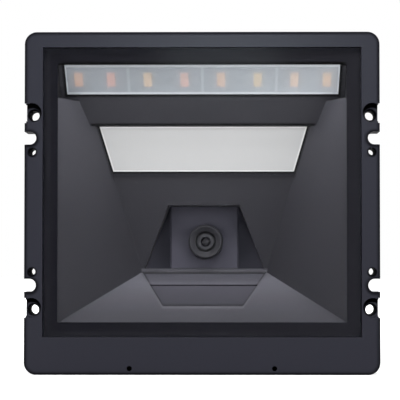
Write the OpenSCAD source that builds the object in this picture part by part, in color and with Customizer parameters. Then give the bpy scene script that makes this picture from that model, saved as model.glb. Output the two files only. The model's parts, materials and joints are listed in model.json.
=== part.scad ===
/* [Bezel] */
// Width of the front bezel over its ears
bezel_w = 115; // [112:0.5:120]
// Height of the front bezel
bezel_h = 111; // [109:0.5:116]
// Depth of the bezel, front face to the face that seats on the panel
bezel_t = 9; // [8:0.25:10]
// Radius of the bezel's four corners
corner_r = 4; // [2:0.5:6]
// Width of the bevel round the front edge
edge_bevel = 0.6; // [0.3:0.1:1]
// Depth of the seat for the housing in the bezel's back
seat_sink = 0.4; // [0.2:0.1:0.6]

/* [Ear holes] */
// Distance of the screw holes from the side
screw_in = 3; // [2.5:0.25:3.5]
// Spacing of the screw holes up and down
screw_dz = 63; // [58:0.5:68]
// Diameter of the screw holes
screw_hole_d = 3.2; // [2.8:0.1:3.6]
// Diameter of the pocket round each screw hole
screw_pocket_d = 6.4; // [6:0.1:6.6]
// Depth of the pocket round each screw hole
screw_pocket_t = 2; // [1:0.25:3]
// Width of the bevel at the mouth of each screw hole
screw_bevel = 0.6; // [0.3:0.1:0.8]
// Distance of the pocket's centre from the side
screw_pocket_in = 2.4; // [2:0.1:2.4]
// How far the pocket's centre lies above the hole's
screw_pocket_rise = 0.6; // [0:0.1:1]
// How far the ear's side is cut back beside each pocket
ear_relief = 0.6; // [0.3:0.1:1]
// Width of the open slots in the sides
slot_w = 4.2; // [3:0.1:4.6]
// How far the slots reach in from the side
slot_reach = 3.9; // [3:0.1:4.5]
// Height of the upper slots above the middle of the screw holes
slot_up = 24; // [23.5:0.25:26]
// Depth of the lower slots below the middle of the screw holes
slot_down = 23.6; // [23.25:0.25:26]
// Diameter of the small holes
small_hole_d = 2.3; // [1.6:0.1:2.6]
// Distance of the small holes from the side
small_hole_in = 2.6; // [2:0.1:3.5]
// Distance from a slot to the small hole beside it
small_hole_gap = 4.4; // [3.9:0.1:6]
// Diameter of the two pin holes in the lower strip
pin_hole_d = 1.4; // [1:0.1:1.8]
// Depth of the pin holes
pin_hole_t = 1.8; // [1:0.1:2.4]
// Spacing of the pin holes
pin_hole_dx = 46.8; // [30:0.2:60]
// Height of the pin holes above the lower edge
pin_hole_up = 2.1; // [1.5:0.1:3]

/* [Window] */
// Width of the strip at each side of the pane
pane_side = 6.1; // [5.8:0.1:7]
// Width of the strip above the pane
pane_top = 5.2; // [4.5:0.1:5.5]
// Width of the strip below the pane
pane_low = 12.3; // [11.5:0.1:12.5]
// Thickness of the window pane
pane_t = 1.5; // [1:0.1:2]
// How far the pane lies behind the front face
pane_sink = 0.25; // [0.1:0.05:0.5]
// Gap round the pane
pane_gap = 0.15; // [0.1:0.05:0.3]
// Thickness of the black frame tape behind the pane
tape_t = 0.5; // [0.3:0.1:0.8]
// Width of the black border at the pane's sides
border_side = 4.5; // [4:0.1:5]
// Width of the black border at the pane's upper edge
border_top = 5.2; // [4.9:0.1:5.6]
// Width of the black border at the pane's lower edge
border_low = 4.6; // [3.9:0.1:5]
// Thickness of the ledge that carries the pane
ledge_t = 2; // [1.5:0.1:2.5]

/* [Hood] */
// Wall of the optical hood
hood_wall = 2; // [1.6:0.1:2.4]
// Depth of the funnel's back corner behind the front face
funnel_d = 46; // [44:0.5:48]
// Half width of the funnel at its back corner
funnel_back_hw = 22; // [21.6:0.2:24]
// Height of the funnel's back corner above the clear opening's lower edge
funnel_back_up = 16; // [15.6:0.1:17]
// Depth of the back slope at its top edge
slope_top_d = 23.2; // [22.6:0.2:24]
// Drop from the clear opening's upper edge to the back slope's top edge
slope_drop = 18.2; // [17.6:0.1:18.6]
// How far the visor's lip stands in front of the slope's top edge
visor_lip = 3.9; // [3.2:0.1:4.4]
// Depth of the visor's upper edge
visor_top_d = 14; // [13.4:0.1:14.6]
// Drop from the clear opening's upper edge to the bay's floor
bay_drop = 10.4; // [10:0.1:11]
// Wall at the ends of the light bar's bay
bay_wall = 1.4; // [1.2:0.1:1.5]
// Thickness of the hood's flange
flange_t = 1.2; // [1:0.1:1.2]
// Gap round the flange in the bezel
flange_gap = 0.2; // [0.1:0.05:0.3]

/* [Light bar] */
// Gap between the clear opening's side and the light bar's cover
bar_side = 1.7; // [1.4:0.1:2.5]
// Height of the light bar's cover along its face
bar_h = 12.5; // [12:0.1:12.8]
// Lean of the light bar's face from the vertical
bar_lean = 45.5; // [44:0.5:47]
// Depth of the face's lower edge behind the front face
bar_d = 13; // [12.8:0.1:13.4]
// Drop from the clear opening's upper edge to the face's lower edge
bar_drop = 8.6; // [8.2:0.1:8.8]
// Thickness of the light bar's cover
bar_cover_t = 1.8; // [1.2:0.1:2]
// Thickness of the cover's rim behind the hood
bar_rim_t = 0.8; // [0.6:0.1:1]
// How far the rim reaches past the opening
bar_rim = 0.8; // [0.5:0.1:0.9]
// Depth of the reflector tray
tray_t = 1.4; // [1.2:0.1:2]
// Thickness of the tray's walls and dividers
tray_wall = 0.8; // [0.6:0.1:1.2]
// Width of an inner cell of the tray as a share of the bar's width
cell_share = 0.27; // [0.25:0.01:0.28]
// Number of lamps along the bar
bar_leds = 8; // [4:2:8]
// Distance from the cover's end to the middle of the last lamp
led_end = 3.85; // [3:0.05:4.5]
// How far the lamps lie below the middle of the bar
led_drop = 2.75; // [1.5:0.05:2.8]
// Width of each lamp
led_w = 2.6; // [2:0.1:3]
// Height of each lamp
led_h = 5; // [3:0.1:5]
// Thickness of each lamp
led_t = 0.8; // [0.5:0.1:1]
// Thickness of the circuit boards
board_t = 1.2; // [1:0.1:1.4]

/* [Diffuser] */
// Share of the slope's length that the diffuser panel takes
diffuser_share = 0.305; // [0.3:0.005:0.33]
// Thickness of the diffuser panel's rim behind the hood
diffuser_rim_t = 1; // [0.8:0.1:1.2]
// How far the rim reaches past the opening
diffuser_rim = 1; // [0.8:0.1:1.2]
// How far the panel's face lies behind the slope
diffuser_sink = 0.4; // [0.2:0.1:0.6]
// Gap round the panel's face
diffuser_gap = 0.15; // [0.1:0.05:0.3]
// Strip of the slope left beside the panel
diffuser_side = 0.25; // [0.2:0.05:0.5]
// Depth of the light box behind the panel
lightbox_t = 3; // [2.4:0.1:3.4]
// Number of lamps behind the panel
diffuser_leds_n = 6; // [3:1:8]
// Pitch of those lamps
diffuser_led_pitch = 9.5; // [6:0.5:10]

/* [Camera] */
// Height of the notch
notch_h = 22.2; // [21:0.1:22.4]
// Height of the notch's lower edge above the funnel's back corner
notch_up = 1.2; // [1:0.1:1.4]
// Half width of the notch's upper edge
notch_top_hw = 12.4; // [12.2:0.1:13]
// Half width of the notch's lower edge
notch_low_hw = 21.2; // [20.8:0.1:21.5]
// How far the notch's duct ends in front of the camera board
duct_end = 2; // [1.8:0.1:2.4]
// Wall of the duct behind the notch
duct_wall = 1.6; // [1.4:0.1:2]
// Length of the camera holder, front face to board
holder_l = 9; // [8.5:0.25:9.5]
// Width of the bevels at the holder's front corners
holder_bevel = 0.6; // [0.4:0.1:2]
// Room between the camera board's front face and the housing's back
camera_room = 3.2; // [3:0.1:3.6]
// Offset of the lens to the right
lens_x = 0.5; // [0:0.1:0.8]
// Height of the lens axis above the notch's lower edge
lens_up = 9.5; // [8.6:0.1:10]
// Diameter of the lens barrel
lens_d = 12; // [10:0.5:13]
// How far the lens stands out of the holder
lens_stand = 5; // [4:0.25:6]
// Diameter of the front glass
lens_glass_d = 3.4; // [2.6:0.1:4.2]
// Side of the image sensor
sensor_side = 8; // [6:0.5:10]

/* [Floor insert] */
// Depth of the floor recess's front edge
recess_front_d = 17; // [15:0.5:20]
// Half width of the recess's front edge
recess_front_hw = 13.4; // [12:0.2:15]
// Length of the sill, front to back
sill_l = 10; // [9:0.2:13]
// How far the sill ends in front of the funnel's back corner
sill_in = 0.5; // [0.4:0.1:3]
// Room between the sill's back corners and the side walls
sill_side = 0.4; // [0.3:0.1:1.5]
// How deep the recess is at its front edge
recess_t = 0.8; // [0.4:0.1:1]
// How deep the recess is at the sill
recess_back_t = 0.9; // [0.8:0.1:2.4]
// How deep the sill's face lies below the floor
sill_sink = 0.4; // [0.2:0.05:0.6]
// How far the sill's front edge overhangs the recess
sill_overhang = 0.8; // [0.4:0.1:1.2]
// Height of the bevelled ridge between the sill and the camera
ridge_h = 1; // [0.8:0.1:1.2]

/* [Rear housing] */
// Width of each ear beside the housing
ear_w = 6.5; // [6:0.25:7]
// Wall of the rear housing
housing_wall = 1.8; // [1.6:0.1:1.9]
// Overall depth from the front face to the housing's back
overall_d = 60; // [59.5:0.5:64]
// Step from the bezel's top edge down to the housing's
housing_top_step = 0.2; // [0.1:0.1:0.3]
// Drop from the bezel's upper edge to the flat back face
back_drop = 41; // [38:1:46]
// Length of the sloping part of the housing's top
top_slope_l = 26; // [22:1:30]
// Radius of the housing's edges
housing_r = 4; // [2.5:0.5:5]
// Thickness of the seal between the bezel and the housing
seal_t = 0.6; // [0.4:0.1:0.8]
// Distance of the housing screws from the housing's sides
housing_screw_in = 4.5; // [4.3:0.1:5]
// Height of the housing screws above the lower edge
housing_screw_up = 6; // [5.8:0.1:6.2]

/* [Electronics] */
// Room beside the main board in the housing
main_board_side = 8.7; // [8:0.1:12]
// Room between the main board and the housing's back
main_board_back = 2; // [1.5:0.25:3]
// Length of the main board, front to back
main_board_l = 42; // [38:0.5:44]
// Height of the main board above the lower edge
main_board_up = 5; // [4.5:0.25:6]
// Width of the interface socket
socket_w = 16; // [15:0.25:17]
// Height of the interface socket
socket_h = 13.4; // [12.5:0.1:14]
// Length of the interface socket
socket_l = 18; // [16:0.5:20]
// Offset of the socket to the right, seen from the front
socket_x = 0; // [-15:1:15]
// Side of the processor's shield
shield_side = 22; // [16:1:24]
// Height of the processor's shield
shield_h = 2.5; // [1.5:0.1:3]
// Diameter of the buzzer
buzzer_d = 9; // [7:0.5:12]
// Height of the buzzer
buzzer_h = 4.5; // [3:0.25:5]
// Width of the flat cables
flex_w = 10; // [6:0.5:12]
// Number of contacts in the interface socket
contact_n = 8; // [4:1:8]

/* [Hidden] */
$fn = 48;
far = 200;
cut = 1;
slip = 0.1;
fit_gap = 0.15;
weld = 0.01;

// Heights here run from the bezel's centre and depths from its front face
centre_rise = 3;
half_w = bezel_w / 2;
half_h = bezel_h / 2;
screw_dx = bezel_w - 2 * screw_in;
pane_w = bezel_w - 2 * pane_side;
pane_h = bezel_h - pane_top - pane_low;
pane_rise = (pane_low - pane_top) / 2;
pane_r = 0.8;
clear_w = pane_w - 2 * border_side;
clear_top_z = half_h - pane_top - border_top;
clear_low_z = -half_h + pane_low + border_low;
ledge_front = pane_sink + pane_t + tape_t;
ledge_back = ledge_front + ledge_t;

// Funnel
funnel_ease = 0.2;
funnel_hw = clear_w / 2 + funnel_ease;
wall_taper = (funnel_hw - funnel_back_hw) / (funnel_d - ledge_back);
wall_angle = atan(wall_taper);
funnel_back_z = clear_low_z + funnel_back_up;
slope_top_z = clear_top_z - slope_drop;
bay_floor_z = clear_top_z - bay_drop;
floor_front_z = clear_low_z - funnel_ease;
floor_rise = (funnel_back_z - floor_front_z) / (funnel_d - ledge_back);
floor_angle = atan(floor_rise);
plan_past = 8;
plan_end_d = funnel_d + plan_past;
slope_lean = atan((funnel_d - slope_top_d) / (slope_top_z - funnel_back_z));
slope_l = norm([funnel_d - slope_top_d, slope_top_z - funnel_back_z]);
lip = [slope_top_d - visor_lip, slope_top_z];
visor_top = [visor_top_d, bay_floor_z];
bay_hw = funnel_hw;
bay_top_z = clear_top_z + funnel_ease;

// Light bar, its stack measured back from the face
bar_w = clear_w - 2 * bar_side;
bar_z = clear_top_z - bar_drop;
bar_rim_back = hood_wall + bar_rim_t;
bar_board_front = bar_rim_back + tray_t;
bar_board_back = bar_board_front + board_t;
cell_pitch = bar_w * cell_share;

// Points of the light bar's and the slope's planes, by offset behind and distance up the face
function bar_pt(back, up) = [bar_d - up * sin(bar_lean) + back * cos(bar_lean),
    bar_z + up * cos(bar_lean) + back * sin(bar_lean)];
function slope_pt(back, up) = [slope_top_d - up * sin(slope_lean) + back * cos(slope_lean),
    slope_top_z + up * cos(slope_lean) + back * sin(slope_lean)];
function half_width(d, grow = 0) = funnel_hw - wall_taper * (d - ledge_back) + grow / cos(wall_angle);
function floor_z(d) = floor_front_z + floor_rise * (d - ledge_back);

// Crossing of two lines, each given by a point and a direction
function cross2(a, b) = a[0] * b[1] - a[1] * b[0];
function crossing(p, u, q, v) = p + u * cross2(q - p, v) / cross2(u, v);
bar_dir = [-sin(bar_lean), cos(bar_lean)];
floor_dir = [cos(floor_angle), sin(floor_angle)];
slope_dir = [sin(slope_lean), -cos(slope_lean)];
floor_out = [ledge_back, floor_front_z - hood_wall / cos(floor_angle)];
funnel_corner_out = crossing(floor_out, floor_dir, slope_pt(hood_wall, 0), slope_dir);
visor_dir = (lip - visor_top) / norm(lip - visor_top);
visor_out = visor_top + hood_wall * [-visor_dir[1], visor_dir[0]];

// Diffuser, its stack measured back from the slope's face
diffuser_h = slope_l * diffuser_share;
diffuser_low_hw = half_width(slope_pt(0, -diffuser_h)[0]) - diffuser_side;
diffuser_top_hw = half_width(slope_top_d) - diffuser_side;
diffuser_back = hood_wall + diffuser_rim_t;
diffuser_board_front = diffuser_back + lightbox_t;
diffuser_screw_x = 24;
diffuser_screw_gap = 3.6;
diffuser_screw_up = -diffuser_h - diffuser_screw_gap;
lightbox_wall = 1.2;
lightbox_in = 2;
lightbox_hw = diffuser_low_hw - lightbox_in;
diffuser_led_side = 2.8;

// Camera
notch_low_z = funnel_back_z + notch_up;
notch_top_z = notch_low_z + notch_h;
camera_board_d = overall_d - housing_wall - camera_room;
notch_d = camera_board_d - duct_end;
holder_d = camera_board_d - holder_l;
holder_gap = 0.2;
holder_w = 2 * (notch_top_hw - holder_gap);
holder_low_z = notch_low_z + slip;
holder_top_z = notch_top_z - holder_gap;
holder_flange_t = 1.5;
holder_flange_out = 2.8;
holder_flange_hw = notch_low_hw + holder_flange_out;
holder_flange_low_z = notch_low_z - duct_wall;
holder_flange_top_z = notch_top_z + duct_wall;
camera_screw_in = 2.6;
camera_screw_up = 16.2;
camera_screw_x = notch_low_hw - camera_screw_in;
camera_screw_z = notch_low_z + camera_screw_up;
boss_r = 2.4;
boss_l = 4;
boss_root = 1;
pilot_r = 0.8;
sensor_t = 1;
sensor_room = 16;
sensor_gap = 2.5;
lens_r = lens_d / 2;
lens_z = notch_low_z + lens_up;
lens_front_d = holder_d - lens_stand;
lens_back_d = camera_board_d - sensor_t - sensor_gap;
lens_bevel = 0.5;
dish_in = 2.3;
dish_t = 1;
lens_rim = 0.3;
glass_r = lens_glass_d / 2;
seat_r = glass_r + slip;
retainer_r = 2.8;
retainer_d = 1.1;
retainer_l = 3.4;
glass_d = 2.2;

// Floor insert
sill_back_d = funnel_d - sill_in;
recess_back_d = sill_back_d - sill_l;
sill_back_hw = half_width(sill_back_d) - sill_side;
insert_t = 0.6;
insert_seat = recess_back_t + insert_t;
insert_pad = 1.4;
insert_gap = 0.2;
undercut_d = recess_back_d + sill_overhang;

// Screws
screw_head_r = 1.7;
screw_head_t = 1.2;
screw_shank_r = 0.75;
screw_hole_ease = 0.2;
screw_tip_gap = 0.2;
hood_screw_x = 30;
hood_screw_dip = 1.6;
hood_screw_out = 1.1;
hood_screw_drop = 6.5;
flange_edge = 1.7;
hood_screw_top_z = half_h - pane_top + hood_screw_out;
hood_screw_low_z = floor_front_z - hood_screw_drop;
flange_top_z = hood_screw_top_z + flange_edge;
flange_low_z = hood_screw_low_z - flange_edge;
flange_hw = half_width(ledge_back, hood_wall);
camera_screw_l = 3.4;
diffuser_screw_l = 3;
board_screw_l = 2.4;
drive_share = 0.45;

// Housing
seat_d = bezel_t - seat_sink;
housing_front_d = seat_d + seal_t;
housing_w = bezel_w - 2 * ear_w;
housing_hw = housing_w / 2;
housing_top_z = half_h - housing_top_step;
back_top_z = half_h - back_drop;
top_slope_d = overall_d - top_slope_l;
housing_screw_x = housing_hw - housing_screw_in;
housing_screw_z = -half_h + housing_screw_up;
housing_hole_r = 1.5;
housing_pilot_r = 1.05;
housing_shank_r = 0.95;
housing_pilot_d = 1.5;
well_r = 2.6;
well_wall = 1.2;
well_floor_l = 8;
well_floor_d = bezel_t + well_floor_l;
tongue_w = 8;
tongue_t = 1;
tongue_l = 2.4;
tongue_root = 2;
tongue_drop = 0.6;
tongue_in = 8.5;
tongue_z = housing_top_z - tongue_t - tongue_drop;
tongue_x = housing_hw - tongue_in;
socket_gap = 0.2;
socket_frame = 4;

// Main board and what stands on it
board_low_z = -half_h + main_board_up;
board_top_z = board_low_z + board_t;
main_board_w = housing_w - 2 * (housing_wall + main_board_side);
board_front_d = overall_d - housing_wall - main_board_back - main_board_l;
board_screw_in = 3;
board_screw_xs = [board_screw_in - main_board_w / 2, main_board_w / 2 - board_screw_in];
board_screw_ds = [board_front_d + board_screw_in, board_front_d + main_board_l - board_screw_in];
shield_in = 2;
shield_sheet = 0.4;
buzzer_side = 14;
buzzer_x = main_board_w / 2 - buzzer_side;
buzzer_in = 12;
buzzer_hole_d = 1.6;
buzzer_hole_t = 2.5;

// Interface socket
socket_front_d = overall_d - socket_l;
plug_w = 11.9;
plug_h = 7;
plug_l = 13;
plug_up = 3.6;
key_w = 6.2;
key_h = 2;
contact_pitch = 1.02;
contact_w = 0.4;
contact_t = 0.6;
contact_l = 9;

// Flat cables
flex_t = 0.3;
connector_end = 0.5;
connector_w = flex_w + 2 * connector_end;
connector_l = 4;
connector_h = 2;
flex_end_up = 1;
flex_fold_up = 6;
flex_socket_in = 13;
flex_socket_d = overall_d - flex_socket_in;
light_flex_in = 5.5;
light_flex_x = main_board_w / 2 - light_flex_in;
camera_flex_in = 14;
camera_flex_x = camera_flex_in - main_board_w / 2;
camera_flex_end_x = 4;
camera_arm_up = 1;
camera_arm_low_z = holder_low_z + camera_arm_up;
camera_arm_h = 6;
light_fold_in = 6;
light_fold_drop = 14.8;
light_rise_drop = 4;
light_fold_d = top_slope_d - light_fold_in;
light_fold_z = housing_top_z - light_fold_drop;
light_rise_z = back_top_z - light_rise_drop;
light_flex_low = 2.5;
light_flex_top = 6;

module placed() {
    translate([0, -bezel_t, centre_rise])
        children();
}

// A block by its left, front and lower corner and its size
module block(x0, d0, z0, w, t, h) {
    translate([x0, d0, z0])
        cube([w, t, h]);
}

// A block centred across
module centred(w, d0, t, z0, h) {
    block(-w / 2, d0, z0, w, t, h);
}

// A cylinder that runs from front to back
module rod(r, x, z, d0, d1) {
    translate([x, d1, z])
        rotate([90, 0, 0])
            cylinder(r = r, h = d1 - d0);
}

// A ring or shaped turning about an axis that runs front to back, drawn as radius and depth
module turned(x, z) {
    translate([x, 0, z])
        rotate([-90, 0, 0])
            rotate_extrude($fn = 72)
                children();
}

// A side outline, drawn as depth and height, run across the width
module across(hw) {
    translate([-hw, 0, 0])
        rotate([90, 0, 90])
            linear_extrude(height = 2 * hw)
                children();
}

// A plan outline, drawn as width and depth, run up and down
module upright() {
    translate([0, 0, -far / 2])
        linear_extrude(height = far)
            children();
}

// A front outline, drawn as width and height, run from front to back
module frontal(d0, d1) {
    translate([0, d1, 0])
        rotate([90, 0, 0])
            linear_extrude(height = d1 - d0)
                children();
}

module mirrored() {
    children();
    mirror([1, 0, 0])
        children();
}

module rounded(w, h, r) {
    square([w - 2 * r, h], center = true);
    square([w, h - 2 * r], center = true);
    for (sx = [-1, 1], sz = [-1, 1])
        translate([sx * (w / 2 - r), sz * (h / 2 - r)])
            circle(r = r);
}

module on_bar() {
    translate([0, bar_d, bar_z])
        rotate([bar_lean, 0, 0])
            children();
}

module on_slope() {
    translate([0, slope_top_d, slope_top_z])
        rotate([slope_lean, 0, 0])
            children();
}

// Front bezel

module bezel_body() {
    frontal(edge_bevel, bezel_t)
        rounded(bezel_w, bezel_h, corner_r);
    frontal(edge_bevel / 2, edge_bevel)
        rounded(bezel_w - edge_bevel, bezel_h - edge_bevel, corner_r - edge_bevel / 2);
    frontal(0, edge_bevel / 2)
        rounded(bezel_w - 2 * edge_bevel, bezel_h - 2 * edge_bevel, corner_r - edge_bevel);
}

// The holes of one ear, at the right-hand side
module ear_holes() {
    for (s = [-1, 1]) {
        hole_z = s * screw_dz / 2 - centre_rise;
        rod(screw_hole_d / 2, screw_dx / 2, hole_z, -cut, bezel_t + cut);
        translate([screw_dx / 2, screw_pocket_t - weld, hole_z])
            rotate([-90, 0, 0])
                cylinder(r1 = screw_hole_d / 2 + screw_bevel, r2 = screw_hole_d / 2, h = screw_bevel);
        rod(screw_pocket_d / 2, half_w - screw_pocket_in, hole_z + screw_pocket_rise, -cut, screw_pocket_t);
        block(half_w - ear_relief, -cut, hole_z + screw_pocket_rise - screw_pocket_d / 2,
            far, bezel_t + 2 * cut, screw_pocket_d);
    }
    for (z = [slot_up - centre_rise, -slot_down - centre_rise]) {
        block(half_w - slot_reach + slot_w / 2, -cut, z - slot_w / 2, far, bezel_t + 2 * cut, slot_w);
        rod(slot_w / 2, half_w - slot_reach + slot_w / 2, z, -cut, bezel_t + cut);
    }
    for (z = [slot_up - centre_rise - small_hole_gap, -slot_down - centre_rise + small_hole_gap])
        rod(small_hole_d / 2, half_w - small_hole_in, z, -cut, bezel_t + cut);
}

module flange_outline(gap) {
    translate([-flange_hw - gap, flange_low_z - gap])
        square([2 * (flange_hw + gap), flange_top_z - flange_low_z + 2 * gap]);
}

module front_bezel() {
    color([0.20, 0.20, 0.23])
    placed()
    difference() {
        bezel_body();
        centred(pane_w + 2 * pane_gap, -cut, ledge_front + cut,
            pane_rise - pane_h / 2 - pane_gap, pane_h + 2 * pane_gap);
        centred(housing_w + 2 * fit_gap, seat_d, far, -far / 2, far);
        centred(2 * funnel_hw, 0, bezel_t + cut, floor_front_z, bay_top_z - floor_front_z);
        frontal(ledge_back, bezel_t + cut)
            flange_outline(flange_gap);
        mirrored()
            ear_holes();
        for (sx = [-1, 1]) {
            rod(pin_hole_d / 2, sx * pin_hole_dx / 2, -half_h + pin_hole_up, -cut, pin_hole_t);
            for (z = [hood_screw_top_z, hood_screw_low_z])
                rod(pilot_r, sx * hood_screw_x, z, ledge_back - hood_screw_dip, bezel_t);
            rod(housing_pilot_r, sx * housing_screw_x, housing_screw_z, housing_pilot_d, bezel_t + cut);
            block(sx * tongue_x - tongue_w / 2 - fit_gap, bezel_t - tongue_l - fit_gap, tongue_z - fit_gap,
                tongue_w + 2 * fit_gap, far, tongue_t + 2 * fit_gap);
        }
    }
}

module window_pane() {
    color([0.75, 0.80, 0.85, 0.3])
    placed()
    translate([0, 0, pane_rise])
    frontal(pane_sink, pane_sink + pane_t)
        rounded(pane_w, pane_h, pane_r);
}

module window_tape() {
    color([0.13, 0.13, 0.15])
    placed()
    difference() {
        translate([0, 0, pane_rise])
            frontal(pane_sink + pane_t, ledge_front)
                rounded(pane_w, pane_h, pane_r);
        centred(clear_w, 0, far, clear_low_z, clear_top_z - clear_low_z);
    }
}

// Optical hood

module plan_outline(grow) {
    polygon([
        [-half_width(ledge_back, grow), -cut],
        [half_width(ledge_back, grow), -cut],
        [half_width(ledge_back, grow), ledge_back],
        [half_width(plan_end_d, grow), plan_end_d],
        [-half_width(plan_end_d, grow), plan_end_d],
        [-half_width(ledge_back, grow), ledge_back],
    ]);
}

module funnel_outside() {
    intersection() {
        upright()
            plan_outline(hood_wall);
        across(far / 2)
            polygon([
                floor_out,
                funnel_corner_out,
                slope_pt(hood_wall, 0),
                slope_pt(hood_wall, 2),
                visor_out + 4 * visor_dir,
                visor_out,
                [visor_out[0], bay_floor_z + 1],
                [ledge_back, bay_floor_z + 1],
            ]);
    }
}

module funnel_inside() {
    intersection() {
        upright()
            plan_outline(0);
        across(far / 2)
            polygon([
                [-cut, floor_front_z],
                [ledge_back, floor_front_z],
                [funnel_d, funnel_back_z],
                [slope_top_d, slope_top_z],
                lip,
                visor_top,
                [-cut, bay_floor_z],
            ]);
    }
}

module bay_outside() {
    bar_line_top = crossing(bar_pt(hood_wall, 0), bar_dir, [ledge_back, 0], [0, 1]);
    across(bay_hw + bay_wall)
        polygon([
            [ledge_back, bay_floor_z - hood_wall],
            bar_line_top,
            bar_pt(hood_wall, 0),
            bar_pt(hood_wall, -2),
            [visor_out[0], bay_floor_z - hood_wall],
        ]);
}

module bay_inside() {
    across(bay_hw)
        polygon([
            [-cut, bay_floor_z - weld],
            [-cut, bay_top_z],
            crossing(bar_pt(0, 0), bar_dir, [0, bay_top_z], [1, 0]),
            bar_pt(0, 0),
            visor_top,
        ]);
}

module notch_outline(grow) {
    polygon([
        [-notch_top_hw - grow, notch_top_z + grow],
        [notch_top_hw + grow, notch_top_z + grow],
        [notch_low_hw + grow, notch_low_z - grow],
        [-notch_low_hw - grow, notch_low_z - grow],
    ]);
}

// The part of space behind the slope's face
module behind_slope(back) {
    across(far / 2)
        polygon([
            slope_pt(back, 60),
            slope_pt(back, -90),
            [far, slope_pt(back, -90)[1]],
            [far, slope_pt(back, 60)[1]],
        ]);
}

module diffuser_opening(grow, b0, b1) {
    on_slope()
        frontal(b0, b1)
            polygon([
                [-diffuser_top_hw - grow, grow],
                [diffuser_top_hw + grow, grow],
                [diffuser_low_hw + grow, -diffuser_h - grow],
                [-diffuser_low_hw - grow, -diffuser_h - grow],
            ]);
}

module optical_hood() {
    color([0.27, 0.27, 0.30])
    placed()
    difference() {
        union() {
            difference() {
                union() {
                    funnel_outside();
                    bay_outside();
                    frontal(ledge_back, ledge_back + flange_t)
                        flange_outline(0);
                    intersection() {
                        frontal(slope_top_d, notch_d)
                            notch_outline(duct_wall);
                        behind_slope(0);
                    }
                }
                funnel_inside();
                bay_inside();
            }
            ridge();
            floor_pad();
            for (sx = [-1, 1]) {
                rod(boss_r, sx * camera_screw_x, camera_screw_z, notch_d - boss_l, notch_d);
                on_slope()
                    rod(boss_r, sx * diffuser_screw_x, diffuser_screw_up, boss_root, diffuser_board_front);
            }
        }
        frontal(slope_top_d, notch_d + cut)
            notch_outline(0);
        on_bar()
            union() {
                centred(bar_w, -cut, hood_wall + 2 * cut, 0, bar_h);
                centred(bar_w + 2 * bar_rim, hood_wall, far, -bar_rim, bar_h + 2 * bar_rim);
            }
        diffuser_opening(0, -cut, hood_wall + weld);
        floor_insert_seat();
        for (sx = [-1, 1]) {
            rod(pilot_r, sx * camera_screw_x, camera_screw_z, notch_d - boss_l, notch_d + cut);
            on_slope()
                rod(pilot_r, sx * diffuser_screw_x, diffuser_screw_up, hood_wall, diffuser_board_front + cut);
            for (z = [hood_screw_top_z, hood_screw_low_z])
                rod(screw_shank_r + screw_hole_ease, sx * hood_screw_x, z, 0, ledge_back + flange_t + cut);
        }
    }
}

// The bevelled ridge across the funnel in front of the camera
module ridge() {
    intersection() {
        upright()
            plan_outline(hood_wall / 2);
        across(far / 2)
            polygon([
                [sill_back_d, floor_z(sill_back_d) - hood_wall / 2],
                [sill_back_d, notch_low_z - ridge_h],
                [sill_back_d + ridge_h, notch_low_z],
                [funnel_d + hood_wall / 2, notch_low_z],
                [funnel_d + hood_wall / 2, floor_z(funnel_d) - hood_wall / 2],
            ]);
    }
}

// Floor insert: the sunk trapezoid and the sill in front of the camera

module insert_outline(shrink) {
    polygon([
        [-recess_front_hw + shrink, recess_front_d + shrink],
        [recess_front_hw - shrink, recess_front_d + shrink],
        [sill_back_hw - shrink, sill_back_d - shrink],
        [-sill_back_hw + shrink, sill_back_d - shrink],
    ]);
}

// A slab that follows the floor, between two depths below it
module floor_slab(down0, down1, d0, d1) {
    across(far / 2)
        polygon([
            [d0, floor_z(d0) - down0],
            [d1, floor_z(d1) - down0],
            [d1, floor_z(d1) - down1],
            [d0, floor_z(d0) - down1],
        ]);
}

// The thicker wall below the insert's seat
module floor_pad() {
    intersection() {
        upright()
            insert_outline(-insert_pad);
        floor_slab(hood_wall / 2, insert_seat + insert_pad,
            recess_front_d - insert_pad, sill_back_d + insert_pad);
    }
}

module floor_insert_seat() {
    intersection() {
        upright()
            insert_outline(0);
        floor_slab(-cut, insert_seat, recess_front_d, sill_back_d);
    }
}

module floor_insert() {
    color([0.33, 0.33, 0.36])
    placed()
    intersection() {
        upright()
            insert_outline(insert_gap);
        across(far / 2)
            polygon([
                [recess_front_d, floor_z(recess_front_d) - recess_t],
                [undercut_d, floor_z(undercut_d) - recess_back_t],
                [recess_back_d, floor_z(recess_back_d) - sill_sink],
                [sill_back_d, floor_z(sill_back_d) - sill_sink],
                [sill_back_d, floor_z(sill_back_d) - insert_seat],
                [recess_front_d, floor_z(recess_front_d) - insert_seat],
            ]);
    }
}

// Light bar

module light_bar_cover() {
    color([0.68, 0.70, 0.74])
    placed()
    on_bar() {
        centred(bar_w - 2 * slip, hood_wall - bar_cover_t, bar_cover_t + weld, slip, bar_h - 2 * slip);
        centred(bar_w + 2 * bar_rim, hood_wall, bar_rim_t, -bar_rim, bar_h + 2 * bar_rim);
    }
}

module light_bar_tray() {
    color([0.80, 0.81, 0.83])
    placed()
    on_bar()
    difference() {
        centred(bar_w, bar_rim_back, tray_t, 0, bar_h);
        for (x = [-cell_pitch, 0])
            block(x + tray_wall / 2, bar_rim_back - cut, tray_wall,
                cell_pitch - tray_wall, tray_t + 2 * cut, bar_h - 2 * tray_wall);
        mirrored()
            block(cell_pitch + tray_wall / 2, bar_rim_back - cut, tray_wall,
                bar_w / 2 - cell_pitch - tray_wall * 1.5, tray_t + 2 * cut, bar_h - 2 * tray_wall);
    }
}

module light_bar_board() {
    color([0.85, 0.86, 0.84])
    placed()
    on_bar()
    centred(bar_w, bar_board_front, board_t, 0, bar_h);
}

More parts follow.
